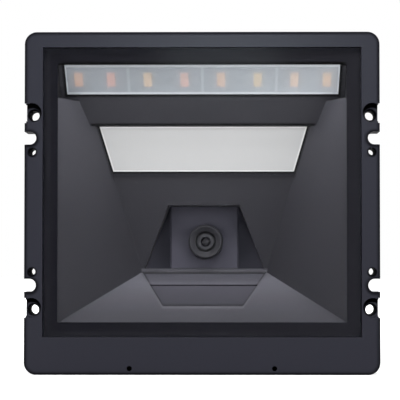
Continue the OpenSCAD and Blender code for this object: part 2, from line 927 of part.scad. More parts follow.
module light_bar_lamps() {
    color([0.95, 0.75, 0.50])
    placed()
    on_bar()
    for (i = [0:bar_leds / 2 - 1])
        mirrored()
            block(min((i + 0.5) * cell_pitch / 2, bar_w / 2 - led_end) - led_w / 2, bar_board_front - led_t,
                bar_h / 2 - led_drop - led_h / 2, led_w, led_t, led_h);
}

// Diffuser

module diffuser_panel() {
    color([0.88, 0.88, 0.88])
    placed() {
        diffuser_opening(-diffuser_gap, diffuser_sink, hood_wall + weld);
        intersection() {
            diffuser_opening(diffuser_rim, hood_wall, diffuser_back);
            on_slope()
                centred(far, 0, far, -far, far);
        }
    }
}

module diffuser_light_box() {
    color([0.92, 0.92, 0.92])
    placed()
    on_slope()
    difference() {
        centred(2 * lightbox_hw, diffuser_back, lightbox_t, -diffuser_h, diffuser_h);
        centred(2 * (lightbox_hw - lightbox_wall), diffuser_back - cut, lightbox_t + 2 * cut,
            -diffuser_h + lightbox_wall, diffuser_h - 2 * lightbox_wall);
    }
}

module diffuser_board() {
    color([0.10, 0.35, 0.20])
    placed()
    on_slope()
    difference() {
        centred(2 * lightbox_hw, diffuser_board_front, board_t,
            diffuser_screw_up - boss_r, diffuser_h + boss_r + diffuser_screw_gap);
        for (sx = [-1, 1])
            rod(screw_shank_r + screw_hole_ease, sx * diffuser_screw_x, diffuser_screw_up,
                diffuser_board_front - cut, diffuser_board_front + board_t + cut);
    }
}

module diffuser_lamps() {
    color([0.95, 0.85, 0.40])
    placed()
    on_slope()
    for (i = [0:diffuser_leds_n - 1])
        block((i - (diffuser_leds_n - 1) / 2) * diffuser_led_pitch - diffuser_led_side / 2,
            diffuser_board_front - led_t, -(diffuser_h + diffuser_led_side) / 2,
            diffuser_led_side, led_t, diffuser_led_side);
}

// Camera

module camera_holder() {
    color([0.19, 0.19, 0.22])
    placed()
    difference() {
        union() {
            translate([0, 0, holder_low_z])
                linear_extrude(height = holder_top_z - holder_low_z)
                    polygon([
                        [holder_bevel - holder_w / 2, holder_d],
                        [holder_w / 2 - holder_bevel, holder_d],
                        [holder_w / 2, holder_d + holder_bevel],
                        [holder_w / 2, camera_board_d],
                        [-holder_w / 2, camera_board_d],
                        [-holder_w / 2, holder_d + holder_bevel],
                    ]);
            centred(2 * holder_flange_hw, notch_d, holder_flange_t, holder_flange_low_z,
                holder_flange_top_z - holder_flange_low_z);
        }
        rod(lens_r + slip, lens_x, lens_z, 0, lens_back_d + cut);
        block(lens_x - sensor_room / 2, lens_back_d, lens_z - sensor_room / 2,
            sensor_room, far, sensor_room);
        for (sx = [-1, 1])
            rod(screw_shank_r + screw_hole_ease, sx * camera_screw_x, camera_screw_z, 0, far);
    }
}

module lens_barrel() {
    color([0.15, 0.15, 0.17])
    placed()
    turned(lens_x, lens_z)
        polygon([
            [lens_r, lens_front_d + lens_bevel],
            [lens_r - lens_bevel, lens_front_d],
            [lens_r - lens_bevel - lens_rim, lens_front_d],
            [lens_r - dish_in, lens_front_d + dish_t],
            [lens_r - dish_in, lens_front_d + retainer_d + retainer_l],
            [seat_r, lens_front_d + retainer_d + retainer_l],
            [seat_r, lens_back_d],
            [lens_r, lens_back_d],
        ]);
}

module lens_retainer() {
    color([0.28, 0.28, 0.31])
    placed()
    turned(lens_x, lens_z)
        translate([seat_r, lens_front_d + retainer_d])
            square([retainer_r - seat_r, retainer_l]);
}

module lens_glass() {
    color([0.10, 0.12, 0.20])
    placed()
    turned(lens_x, lens_z)
        intersection() {
            translate([0, lens_front_d + glass_d])
                square([glass_r, glass_r * 2]);
            translate([0, lens_front_d + glass_d + glass_r * 2])
                circle(r = glass_r * 2);
        }
}

module image_sensor() {
    color([0.16, 0.17, 0.20])
    placed()
    block(lens_x - sensor_side / 2, camera_board_d - sensor_t, lens_z - sensor_side / 2,
        sensor_side, sensor_t, sensor_side);
}

module camera_board() {
    color([0.10, 0.35, 0.20])
    placed()
    centred(holder_w, camera_board_d, board_t, holder_low_z, holder_top_z - holder_low_z);
}

// Electronics

module camera_flex() {
    back_d = camera_board_d + board_t;
    color([0.75, 0.50, 0.20])
    placed() {
        block(camera_flex_x - flex_w / 2, back_d, camera_arm_low_z,
            flex_w / 2 - camera_flex_x - camera_flex_end_x, flex_t, camera_arm_h);
        translate([camera_flex_x, 0, 0])
            across(flex_w / 2)
                polygon([
                    [back_d, camera_arm_low_z + camera_arm_h],
                    [back_d + flex_t, camera_arm_low_z + camera_arm_h],
                    [back_d + flex_t, board_top_z + flex_fold_up],
                    [flex_socket_d + flex_t, board_top_z + flex_end_up],
                    [flex_socket_d + flex_t, board_top_z],
                    [flex_socket_d, board_top_z],
                    [flex_socket_d, board_top_z + flex_end_up],
                    [back_d, board_top_z + flex_fold_up + flex_t],
                ]);
    }
}

module main_board() {
    color([0.10, 0.35, 0.20])
    placed()
    difference() {
        centred(main_board_w, board_front_d, main_board_l, board_low_z, board_t);
        for (x = board_screw_xs, d = board_screw_ds)
            translate([x, d, board_low_z - cut])
                cylinder(r = screw_shank_r + slip, h = board_t + 2 * cut);
    }
}

module processor_shield() {
    color([0.75, 0.76, 0.78])
    placed()
    difference() {
        centred(shield_side, board_front_d + shield_in, shield_side, board_top_z, shield_h);
        centred(shield_side - 2 * shield_sheet, board_front_d + shield_in + shield_sheet,
            shield_side - 2 * shield_sheet, board_top_z - cut, shield_h - shield_sheet + cut);
    }
}

module interface_socket() {
    color([0.10, 0.10, 0.11])
    placed()
    difference() {
        block(socket_x - socket_w / 2, socket_front_d, board_top_z, socket_w, socket_l, socket_h);
        block(socket_x - plug_w / 2, overall_d - plug_l, board_top_z + plug_up, plug_w, plug_l + cut, plug_h);
        block(socket_x - key_w / 2, overall_d - plug_l, board_top_z + plug_up - key_h,
            key_w, plug_l + cut, key_h + cut);
    }
}

module socket_contacts() {
    color([0.85, 0.65, 0.25])
    placed()
    for (i = [0:contact_n - 1])
        block(socket_x + (i - (contact_n - 1) / 2) * contact_pitch - contact_w / 2, overall_d - plug_l,
            board_top_z + plug_up + plug_h - contact_t, contact_w, contact_l, contact_t);
}

module buzzer() {
    color([0.10, 0.10, 0.11])
    placed()
    translate([buzzer_x, board_front_d + buzzer_in, board_top_z])
        difference() {
            cylinder(d = buzzer_d, h = buzzer_h);
            translate([0, 0, buzzer_h - buzzer_hole_t])
                cylinder(d = buzzer_hole_d, h = buzzer_hole_t + cut);
        }
}

module board_connectors() {
    color([0.90, 0.89, 0.84])
    placed()
    for (x = [camera_flex_x, light_flex_x])
        block(x - connector_w / 2, flex_socket_d - connector_l, board_top_z,
            connector_w, connector_l, connector_h);
}

module light_flex() {
    color([0.75, 0.50, 0.20])
    placed()
    translate([light_flex_x, 0, 0])
        across(flex_w / 2)
            polygon([
                [flex_socket_d, board_top_z],
                [flex_socket_d + flex_t, board_top_z],
                [flex_socket_d + flex_t, light_rise_z + flex_t],
                [light_fold_d + flex_t, light_fold_z + flex_t],
                bar_pt(bar_board_back + flex_t, light_flex_low + flex_t),
                bar_pt(bar_board_back + flex_t, light_flex_top),
                bar_pt(bar_board_back, light_flex_top),
                bar_pt(bar_board_back, light_flex_low),
                [light_fold_d, light_fold_z],
                [flex_socket_d, light_rise_z],
            ]);
}

// Rear housing

module housing_solid(shrink) {
    r = housing_r - shrink;
    top = housing_top_z - shrink;
    low = -half_h + shrink;
    back = overall_d - shrink;
    lean = atan((overall_d - top_slope_d) / (housing_top_z - back_top_z));
    knee = top_slope_d - shrink * tan((90 - lean) / 2);
    heel = back_top_z - shrink * tan(lean / 2);
    intersection() {
        across(far / 2)
            polygon([
                [0, low],
                [back, low],
                [back, heel],
                [knee, top],
                [0, top],
            ]);
        upright()
            union() {
                translate([-housing_hw + shrink, 0])
                    square([housing_w - 2 * shrink, back - r]);
                translate([-housing_hw + shrink + r, 0])
                    square([housing_w - 2 * shrink - 2 * r, back]);
                for (sx = [-1, 1])
                    translate([sx * (housing_hw - shrink - r), back - r])
                        circle(r = r);
            }
        translate([0, 0, (top + low) / 2])
            frontal(0, far)
                rounded(housing_w - 2 * shrink, top - low, r);
    }
}

module rear_housing() {
    color([0.16, 0.16, 0.18])
    placed()
    difference() {
        union() {
            difference() {
                housing_solid(0);
                housing_solid(housing_wall);
                block(-far / 2, -far, -far / 2, far, far + housing_front_d, far);
            }
            intersection() {
                housing_solid(0);
                union() {
                    mirrored()
                        rod(well_r + well_wall, housing_screw_x, housing_screw_z,
                            housing_front_d, overall_d);
                    for (x = board_screw_xs, d = board_screw_ds)
                        translate([x, d, -half_h])
                            cylinder(r = boss_r, h = main_board_up);
                }
            }
            for (sx = [-1, 1])
                block(sx * tongue_x - tongue_w / 2, bezel_t - tongue_l, tongue_z,
                    tongue_w, tongue_l + seal_t + tongue_root, tongue_t);
        }
        mirrored() {
            rod(well_r, housing_screw_x, housing_screw_z, well_floor_d, far);
            rod(housing_hole_r, housing_screw_x, housing_screw_z, 0, far);
        }
        block(socket_x - socket_w / 2 - socket_gap, overall_d - socket_frame, board_top_z - socket_gap,
            socket_w + 2 * socket_gap, far, socket_h + 2 * socket_gap);
        for (x = board_screw_xs, d = board_screw_ds)
            translate([x, d, -half_h + housing_wall])
                cylinder(r = pilot_r, h = main_board_up);
    }
}

module housing_seal() {
    color([0.08, 0.08, 0.09])
    placed()
    difference() {
        intersection() {
            difference() {
                housing_solid(slip);
                housing_solid(housing_wall);
            }
            centred(far, seat_d, seal_t, -far / 2, far);
        }
        for (sx = [-1, 1])
            block(sx * tongue_x - tongue_w / 2 - fit_gap, 0, tongue_z - fit_gap,
                tongue_w + 2 * fit_gap, far, tongue_t + 2 * fit_gap);
    }
}

// Screws

// A pan-head screw driven forward, its head seated at depth d
module screw(x, z, d, length, head_r = screw_head_r, shank_r = screw_shank_r) {
    rod(shank_r, x, z, d - length, d + weld);
    difference() {
        rod(head_r, x, z, d, d + screw_head_t);
        rod(head_r * drive_share, x, z, d + screw_head_t * drive_share, d + far);
    }
}

module hood_screws() {
    color([0.55, 0.56, 0.58])
    placed()
    for (sx = [-1, 1], z = [hood_screw_top_z, hood_screw_low_z])
        screw(sx * hood_screw_x, z, ledge_back + flange_t, flange_t + hood_screw_dip - screw_tip_gap);
}

module housing_screws() {
    color([0.55, 0.56, 0.58])
    placed()
    mirrored()
        screw(housing_screw_x, housing_screw_z, well_floor_d,
            well_floor_d - housing_pilot_d - screw_tip_gap, well_r - 2 * fit_gap, housing_shank_r);
}

module camera_screws() {
    color([0.55, 0.56, 0.58])
    placed()
    mirrored()
        screw(camera_screw_x, camera_screw_z, notch_d + holder_flange_t, holder_flange_t + camera_screw_l);
}

module diffuser_screws() {
    color([0.55, 0.56, 0.58])
    placed()
    on_slope()
    mirrored()
        screw(diffuser_screw_x, diffuser_screw_up, diffuser_board_front + board_t,
            board_t + diffuser_screw_l);
}

module main_board_screws() {
    color([0.55, 0.56, 0.58])
    placed()
    for (x = board_screw_xs, d = board_screw_ds)
        translate([x, d, board_top_z]) {
            translate([0, 0, -board_t - board_screw_l])
                cylinder(r = screw_shank_r, h = board_t + board_screw_l + weld);
            difference() {
                cylinder(r = screw_head_r, h = screw_head_t);
                translate([0, 0, screw_head_t * drive_share])
                    cylinder(r = screw_head_r * drive_share, h = screw_head_t);
            }
        }
}

front_bezel();
window_pane();
window_tape();
optical_hood();
floor_insert();
light_bar_cover();
light_bar_tray();
light_bar_board();
light_bar_lamps();
diffuser_panel();
diffuser_light_box();
diffuser_board();
diffuser_lamps();
camera_holder();
lens_barrel();
lens_retainer();
lens_glass();
image_sensor();
camera_board();
camera_flex();
main_board();
processor_shield();
interface_socket();
socket_contacts();
buzzer();
board_connectors();
light_flex();
rear_housing();
housing_seal();
hood_screws();
housing_screws();
camera_screws();
diffuser_screws();
main_board_screws();
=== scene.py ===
import json
import math

import bpy
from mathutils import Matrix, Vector


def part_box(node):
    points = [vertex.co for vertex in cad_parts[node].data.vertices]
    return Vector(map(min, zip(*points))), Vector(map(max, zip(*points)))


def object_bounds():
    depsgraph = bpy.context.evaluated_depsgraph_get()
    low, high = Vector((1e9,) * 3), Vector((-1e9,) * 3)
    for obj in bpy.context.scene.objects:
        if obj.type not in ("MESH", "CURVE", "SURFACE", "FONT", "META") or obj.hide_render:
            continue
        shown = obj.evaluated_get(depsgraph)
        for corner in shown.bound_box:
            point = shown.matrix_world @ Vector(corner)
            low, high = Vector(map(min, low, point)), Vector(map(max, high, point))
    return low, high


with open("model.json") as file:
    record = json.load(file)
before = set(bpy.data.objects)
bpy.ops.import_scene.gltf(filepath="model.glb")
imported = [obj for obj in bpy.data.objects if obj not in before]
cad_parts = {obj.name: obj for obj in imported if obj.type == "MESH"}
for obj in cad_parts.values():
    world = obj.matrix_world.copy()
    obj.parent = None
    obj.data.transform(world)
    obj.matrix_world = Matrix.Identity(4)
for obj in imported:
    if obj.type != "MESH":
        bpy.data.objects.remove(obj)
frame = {"nodes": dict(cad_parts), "record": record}
cad_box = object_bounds()
nodes = frame["nodes"]

MM = 0.001
AHEAD = Vector((0, -1, 0))
UP = Vector((0, 0, 1))

# Viewpoint of the photograph

PHOTO_SIDE = 400                    # pixels
FACE_SCALE = 0.3225 * MM            # metres a pixel, in the plane of the bezel's face
FACE_CENTRE_PX = (201.9, 202.8)     # where the photograph shows the middle of the bezel's face
STRAIGHT_AHEAD_PX = (228.5, 263.0)  # the point towards which lines that run straight back converge
CAMERA_DISTANCE = 0.45
CAMERA_PITCH = math.radians(1.5)
CAMERA_YAW = math.radians(0.5)

# Places on the part, in mm

BEVELS_MM = {                       # how far each piece's sharp edges are rounded
    "front_bezel": 0.18, "optical_hood": 0.3, "floor_insert": 0.15, "camera_holder": 0.25,
    "rear_housing": 0.2,
}
CORNER_MM = 4.0                     # the bezel's corner radius
EAR_HOLES_MM = [(54.5, 31.5, 1.6), (54.9, 19.4, 1.15)]  # x, z and radius of the round holes of an ear
SLOT_MM = (55.7, 23.8, 2.1)         # x, z and radius of the slot's round end
PIN_HOLE_MM = (23.4, 2.1, 0.7)      # x, height above the bezel's base and radius
POCKET_MM = (55.1, 0.6, 3.2)        # x, rise above the screw hole and radius
TAPE_TOP_MM = 5.2                   # width of the window's border above the light bar
VISOR_EDGE_MM = (10.3, 29.9)        # y and z of the visor's lower edge
BAY_FLOOR_MM = 37.7                 # z of the floor under the light bar, where the lit side walls end
CELL_SHARE = 0.27                   # width of an inner cell of the light bar's tray, as a share of the bar
FUNNEL_SHARE = 0.9                  # depth of the funnel's back corner, as a share of the hood's depth
UPWARD = (0.80, 0.91)               # a face counts as looking up between these values of its normal's Z

# Painted shade and light: dark lines, shadows and pale rims; most are full up to a first distance in mm, and
# gone at a second

EDGE_LINE_MM = (0.35, 1.5)          # along the bezel's outer edge and slots
HOLE_LINE_MM = (0.2, 0.8)           # round the holes of the ears
PIN_LINE_MM = (0.0, 0.25)           # round the pin holes
EDGE_DEPTH_MM = (0.3, 0.9)          # how far behind the face the outer edge's line ends
LIT_BORDER_EDGE_MM = (1.3, 1.9)        # painted light: the paler band along the outside of the window's border, on its bevelled edge
ABOVE_BAR_MM = (0.5, 1.1)           # the shadow on the border over the light bar
VISOR_LIP_MM = (0.35, 1.1)          # the shadow on the visor's lower edge
POCKET_SHADE_MM = 1.2               # how far the shadow reaches down a screw pocket
SEAT_LIP_MM = {1: 0.6, 2: 1.5, 3: 0.6}  # width of the lit lip round the insert, by side: right, front, left
BAR_SHADE_MM = (0.85, 3.0)          # width of the shadow round the light bar, and its reach along the normal
PANEL_SHADE_MM = (0.65, 1.5)        # the same round the diffuser panel
BELOW_PANEL_MM = (2.6, 1.5)         # the same for the panel's fainter, wider shadow
SEAM_SHADE_MM = (0.0, 0.7, 3.6, 0.7)      # painted shade along the insert's seams, widest behind the floor's lip at its front: upper, right, lower and left edge
COVER_RIM_MM = (1.05, 0.5, 1.0, 0.5)  # the cover's pale rim, in the same order
PANEL_RIM_MM = (0.5, 0.5, 0.5, 0.5)   # the panel's rim, a painted highlight
EDGE_SHADE = 0.72                   # how dark each shadow is painted, from 0 to 1
HOLE_SHADE = 0.85
POCKET_SHADE = 0.95
BELOW_PANEL_SHADE = 0.45
COVER_TOP_SHADE = 0.74               # painted shade: tone of the cover's top, where that of its base is 1
SHADE = (0.005, 0.005, 0.006)
BLACK = (0.0, 0.0, 0.0)

# Phosphor colours of the light bar's lamps, from the left

LAMP_TINTS = [
    (1.0, 0.38, 0.01), (1.0, 0.29, 0.06), (1.0, 0.54, 0.06), (1.0, 0.35, 0.09),
    (1.0, 0.43, 0.01), (0.95, 0.56, 0.03), (1.0, 0.50, 0.10), (1.0, 0.48, 0.02),
]

# Studio

FLOOR_SIDE = 6.0
FLOOR_COLOUR = (0.62, 0.62, 0.62)
SHADOW_REACH = (0.08, 0.45)         # between these distances from the part the floor turns white
SHADOW_LEVEL = 0.62                 # how bright the floor glows next to the part
WORLD_LIGHT = 0.08
WHITE = (1.0, 1.0, 1.0)
COOL_WHITE = (0.82, 0.93, 1.0)
SOFT_BOXES = [                      # name, place from the middle of the face, width, height, watts and colour
    ("key", (0.0, -0.32, 0.46), 0.60, 0.25, 4.2, WHITE),
    ("fill_left", (-0.64, -0.76, 0.08), 0.5, 0.5, 3.4, WHITE),
    ("fill_right", (0.64, -0.76, 0.08), 0.5, 0.5, 4.2, WHITE),
    ("gloss", (0.0, -1.2, 0.24), 0.14, 0.10, 1.65, COOL_WHITE),
    ("rear_left", (-0.55, 1.05, 0.45), 0.7, 0.7, 14.0, WHITE),
    ("rear_right", (0.85, 0.75, 0.30), 0.6, 0.6, 9.0, WHITE),
]

bezel_low, bezel_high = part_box("front_bezel")
face_centre = Vector(((bezel_low.x + bezel_high.x) / 2, bezel_low.y, (bezel_low.z + bezel_high.z) / 2))


# Node helpers

def add(tree, kind, **settings):
    """Adds a node and sets its own properties."""
    node = tree.nodes.new(kind)
    for name, setting in settings.items():
        setattr(node, name, setting)
    return node


def feed(tree, socket, value):
    """Links a socket to another, or sets it to a constant."""
    if isinstance(value, bpy.types.NodeSocket):
        tree.links.new(value, socket)
    else:
        socket.default_value = value


def calc(tree, operation, *values, clamp=False):
    node = add(tree, "ShaderNodeMath", operation=operation, use_clamp=clamp)
    for socket, value in zip(node.inputs, values):
        feed(tree, socket, value)
    return node.outputs[0]


def vector_calc(tree, operation, *values):
    node = add(tree, "ShaderNodeVectorMath", operation=operation)
    for socket, value in zip(node.inputs, values):
        feed(tree, socket, value)
    return node.outputs["Value"] if operation in ("DOT_PRODUCT", "LENGTH") else node.outputs["Vector"]


def scaled(tree, colour, gain):
    node = add(tree, "ShaderNodeVectorMath", operation="SCALE")
    feed(tree, node.inputs[0], colour)
    feed(tree, node.inputs["Scale"], gain)
    return node.outputs["Vector"]


def joined(tree, operation, values):
    """Joins any number of values by one operation."""
    total = values[0]
    for value in values[1:]:
        total = calc(tree, operation, total, value)
    return total


def where_all(tree, *masks):
    return joined(tree, "MULTIPLY", masks)


def where_any(tree, *masks):
    return joined(tree, "MAXIMUM", masks)


def spread(tree, value, low, high, to_low=0.0, to_high=1.0):
    """Maps a range of values to another range, smoothly and within its ends."""
    node = add(tree, "ShaderNodeMapRange", interpolation_type="SMOOTHSTEP")
    for name, v in (("Value", value), ("From Min", low), ("From Max", high),
                    ("To Min", to_low), ("To Max", to_high)):
        feed(tree, node.inputs[name], v)
    return node.outputs["Result"]


def fading(tree, distance, reach, strength=1.0, start=0.0):
    """Full up to the first distance of reach and gone at the second, both in mm from a start in metres."""
    full, gone = reach
    return spread(tree, distance, start + full * MM, start + gone * MM, strength, 0.0)


def band(tree, value, rise, fall):
    """1 between two places; it rises over one range and falls over the other, both in metres."""
    return where_all(tree, spread(tree, value, *rise), spread(tree, value, *fall, 1.0, 0.0))


def level(tree, value, low, high):
    """Where a value lies between two others, from 0 to 1."""
    node = add(tree, "ShaderNodeMapRange")
    for name, v in (("Value", value), ("From Min", low), ("From Max", high)):
        feed(tree, node.inputs[name], v)
    return node.outputs["Result"]


def mixed(tree, factor, a, b):
    node = add(tree, "ShaderNodeMix", data_type="RGBA")
    feed(tree, node.inputs["Factor"], factor)
    feed(tree, node.inputs["A"], a)
    feed(tree, node.inputs["B"], b)
    return node.outputs["Result"]


def object_point(tree):
    return add(tree, "ShaderNodeTexCoord").outputs["Object"]


def split_vector(tree, vector):
    node = add(tree, "ShaderNodeSeparateXYZ")
    feed(tree, node.inputs["Vector"], vector)
    return node.outputs


def place(tree):
    """X, Y and Z of a point in the part's frame."""
    return split_vector(tree, object_point(tree))


def facing(tree):
    """X, Y and Z of the surface's normal."""
    return split_vector(tree, add(tree, "ShaderNodeNewGeometry").outputs["Normal"])


def noise(tree, point, scale, detail=3.0, roughness=0.55):
    node = add(tree, "ShaderNodeTexNoise")
    feed(tree, node.inputs["Vector"], point)
    feed(tree, node.inputs["Scale"], scale)
    feed(tree, node.inputs["Detail"], detail)
    feed(tree, node.inputs["Roughness"], roughness)
    return node.outputs["Fac"]


def new_group(name, ins, outs):
    """A shader node group with named sockets, given as (name, kind, default) and (name, kind)."""
    tree = bpy.data.node_groups.new(name, "ShaderNodeTree")
    for label, kind, default in ins:
        socket = tree.interface.new_socket(label, in_out="INPUT", socket_type=kind)
        socket.default_value = default
    for label, kind in outs:
        tree.interface.new_socket(label, in_out="OUTPUT", socket_type=kind)
    start = tree.nodes.new("NodeGroupInput")
    end = tree.nodes.new("NodeGroupOutput")
    return tree, start.outputs, end.inputs


def place_group(tree, group, **values):
    node = tree.nodes.new("ShaderNodeGroup")
    node.node_tree = group
    for name, value in values.items():
        feed(tree, node.inputs[name], value)
    return node.outputs


# Effects that several materials share

def make_tone_drift():
    """The slight clouding of a moulded colour, and of its gloss."""
    tree, given, out = new_group(
        "tone_drift",
        [("Color", "NodeSocketColor", (0.5, 0.5, 0.5, 1.0)), ("Amount", "NodeSocketFloat", 0.05),
         ("Scale", "NodeSocketFloat", 60.0), ("Roughness", "NodeSocketFloat", 0.5)],
        [("Color", "NodeSocketColor"), ("Roughness", "NodeSocketFloat")])
    point = object_point(tree)
    cloud = noise(tree, point, given["Scale"])
    speck = noise(tree, point, calc(tree, "MULTIPLY", given["Scale"], 24.0), detail=1.0)
    both = calc(tree, "ADD", calc(tree, "MULTIPLY", cloud, 0.7), calc(tree, "MULTIPLY", speck, 0.3))
    swing = calc(tree, "MULTIPLY", calc(tree, "SUBTRACT", both, 0.5), given["Amount"])
    gain = calc(tree, "ADD", calc(tree, "MULTIPLY", swing, 4.0), 1.0)
    feed(tree, out["Color"], scaled(tree, given["Color"], gain))
    feed(tree, out["Roughness"], calc(tree, "ADD", given["Roughness"], swing, clamp=True))
    return tree


def make_moulded_grain():
    """The fine spark-eroded grain of a mould, as a height."""
    tree, given, out = new_group(
        "moulded_grain",
        [("Scale", "NodeSocketFloat", 2500.0)],
        [("Height", "NodeSocketFloat")])
    point = object_point(tree)
    fine = noise(tree, point, given["Scale"], detail=2.0)
    coarse = noise(tree, point, calc(tree, "MULTIPLY", given["Scale"], 0.3), detail=1.0)
    feed(tree, out["Height"], calc(tree, "ADD", calc(tree, "MULTIPLY", fine, 0.7),
                                   calc(tree, "MULTIPLY", coarse, 0.3)))
    return tree


def make_edge_distance():
    """How far a point lies inside one straight edge, in metres."""
    tree, given, out = new_group(
        "edge_distance",
        [("Corner", "NodeSocketVector", (0, 0, 0)), ("Inward", "NodeSocketVector", (0, 0, 1))],
        [("Distance", "NodeSocketFloat")])
    away = vector_calc(tree, "SUBTRACT", object_point(tree), given["Corner"])
    feed(tree, out["Distance"], vector_calc(tree, "DOT_PRODUCT", away, given["Inward"]))
    return tree


def make_rod_distance():
    """How far a point lies from the wall of a round hole that runs along Y, in metres, negative inside it."""
    tree, given, out = new_group(
        "rod_distance",
        [("X", "NodeSocketFloat", 0.0), ("Z", "NodeSocketFloat", 0.0), ("Radius", "NodeSocketFloat", 0.001)],
        [("Distance", "NodeSocketFloat")])
    squares = calc(tree, "ADD", calc(tree, "POWER", given["X"], 2.0), calc(tree, "POWER", given["Z"], 2.0))
    feed(tree, out["Distance"], calc(tree, "SUBTRACT", calc(tree, "SQRT", squares), given["Radius"]))
    return tree


def make_painted_depth_light():
    """Gain of a moulded colour that paints light into it: upward faces pale towards their back, side walls
    towards their top.
    """
    tree, given, out = new_group(
        "painted_depth_light",
        [("Front", "NodeSocketFloat", 0.0), ("Back", "NodeSocketFloat", 0.04),
         ("Low", "NodeSocketFloat", -0.02), ("High", "NodeSocketFloat", 0.035),
         ("Floor Base", "NodeSocketFloat", 0.2), ("Floor Gain", "NodeSocketFloat", 1.9),
         ("Wall Base", "NodeSocketFloat", -0.1), ("Wall Gain", "NodeSocketFloat", 0.5)],
        [("Gain", "NodeSocketFloat")])
    normal = facing(tree)
    point = place(tree)
    upward = spread(tree, normal["Z"], *UPWARD)
    sideways = spread(tree, calc(tree, "ABSOLUTE", normal["X"]), 0.55, 0.80)
    deep = calc(tree, "POWER", level(tree, point["Y"], given["Front"], given["Back"]), 1.6)
    high = calc(tree, "POWER", level(tree, point["Z"], given["Low"], given["High"]), 2.2)
    floor_painted_light = calc(tree, "MULTIPLY_ADD", deep, given["Floor Gain"], given["Floor Base"])
    wall_painted_light = calc(tree, "MULTIPLY_ADD", high, given["Wall Gain"], given["Wall Base"])
    both = calc(tree, "ADD", where_all(tree, upward, floor_painted_light), where_all(tree, sideways, wall_painted_light))
    feed(tree, out["Gain"], calc(tree, "ADD", both, 1.0))
    return tree


def make_rim_mask(edge_distance):
    """1 along the edges of a flat four-sided panel, 0 inside it."""
    ins = [(f"Corner {i}", "NodeSocketVector", (0, 0, 0)) for i in range(4)]
    ins += [(f"Inward {i}", "NodeSocketVector", (0, 0, 1)) for i in range(4)]
    ins += [(f"Width {i}", "NodeSocketFloat", 0.0006) for i in range(4)]
    tree, given, out = new_group("rim_mask", ins, [("Mask", "NodeSocketFloat")])
    sides = []
    for i in range(4):
        away = place_group(tree, edge_distance, Corner=given[f"Corner {i}"], Inward=given[f"Inward {i}"])
        share = calc(tree, "DIVIDE", away["Distance"], given[f"Width {i}"])
        sides.append(spread(tree, share, 0.75, 1.25, 1.0, 0.0))
    feed(tree, out["Mask"], where_any(tree, *sides))
    return tree


TONE_DRIFT = make_tone_drift()
MOULDED_GRAIN = make_moulded_grain()
EDGE_DISTANCE = make_edge_distance()
ROD_DISTANCE = make_rod_distance()
PAINTED_DEPTH_LIGHT = make_painted_depth_light()
RIM_MASK = make_rim_mask(EDGE_DISTANCE)


# Places on flat faces

def face_corners(node, ahead):
    """Corners of the largest flat face of a node that looks ahead, from its upper left one, clockwise."""
    mesh = nodes[node].data
    faces = {}
    for polygon in mesh.polygons:
        if polygon.normal.dot(ahead) > 0.6:
            direction = tuple(round(c, 2) for c in polygon.normal)
            height_mm = round(polygon.normal.dot(polygon.center) / MM, 1)
            faces.setdefault((direction, height_mm), []).append(polygon)
    largest = max(faces.values(), key=lambda group: sum(p.area for p in group))
    points = sorted((mesh.vertices[i].co for p in largest for i in p.vertices), key=lambda v: v.x)
    low, high = min(v.z for v in points), max(v.z for v in points)
    upper = [v for v in points if v.z > high - 0.1 * MM]
    lower = [v for v in points if v.z < low + 0.1 * MM]
    return [upper[0], upper[-1], lower[-1], lower[0]], largest[0].normal


def edge_values(corners, normal):
    """Each edge of a four-sided face as a corner and the direction inwards from it."""
    values = {}
    middle = sum(corners, Vector()) / 4
    for i in range(4):
        along = corners[(i + 1) % 4] - corners[i]
        inward = normal.cross(along).normalized()
        if inward.dot(middle - corners[i]) < 0:
            inward = -inward
        values[f"Corner {i}"] = tuple(corners[i])
        values[f"Inward {i}"] = tuple(inward)
    return values


def edge_distances(tree, corners, normal, sides):
    """Distance in metres inside each of the chosen edges of a face; 0 is its upper edge, 1 its right one."""
    values = edge_values(corners, normal)
    edges = [{"Corner": values[f"Corner {i}"], "Inward": values[f"Inward {i}"]} for i in sides]
    return [place_group(tree, EDGE_DISTANCE, **edge)["Distance"] for edge in edges]


def inside_face(tree, node, sides, ahead=AHEAD):
    """Distance in metres inside the chosen edges of a node's face."""
    corners, normal = face_corners(node, ahead)
    return joined(tree, "MINIMUM", edge_distances(tree, corners, normal, sides))


def lift_off_face(tree, node, ahead=AHEAD):
    """Distance in metres from the plane of a node's face."""
    corners, normal = face_corners(node, ahead)
    lift = place_group(tree, EDGE_DISTANCE, Corner=tuple(corners[0]), Inward=tuple(normal))
    return calc(tree, "ABSOLUTE", lift["Distance"])


def round_face(tree, node, width, reach):
    """Mask of what lies just outside a node's front face; width and reach along the normal in mm."""
    inside = inside_face(tree, node, (0, 1, 2, 3))
    lift = lift_off_face(tree, node)
    return where_all(tree, spread(tree, inside, -1.3 * width * MM, -0.6 * width * MM),
                     fading(tree, lift, (0.8 * reach, reach)))


def rim_mask(tree, node, widths, ahead=AHEAD):
    """Mask of a face's rim; widths in mm of its upper, right, lower and left edge, 0 for no rim."""
    corners, normal = face_corners(node, ahead)
    values = edge_values(corners, normal)
    for i, width in enumerate(widths):
        values[f"Width {i}"] = max(width, 0.001) * MM
        if not width:
            values[f"Corner {i}"] = tuple(Vector(values[f"Corner {i}"]) - Vector(values[f"Inward {i}"]))
    return place_group(tree, RIM_MASK, **values)["Mask"]


# Kinds of material

def new_material(name):
    material = bpy.data.materials.new(name)
    material.use_nodes = True
    tree = material.node_tree
    return material, tree, tree.nodes["Principled BSDF"]


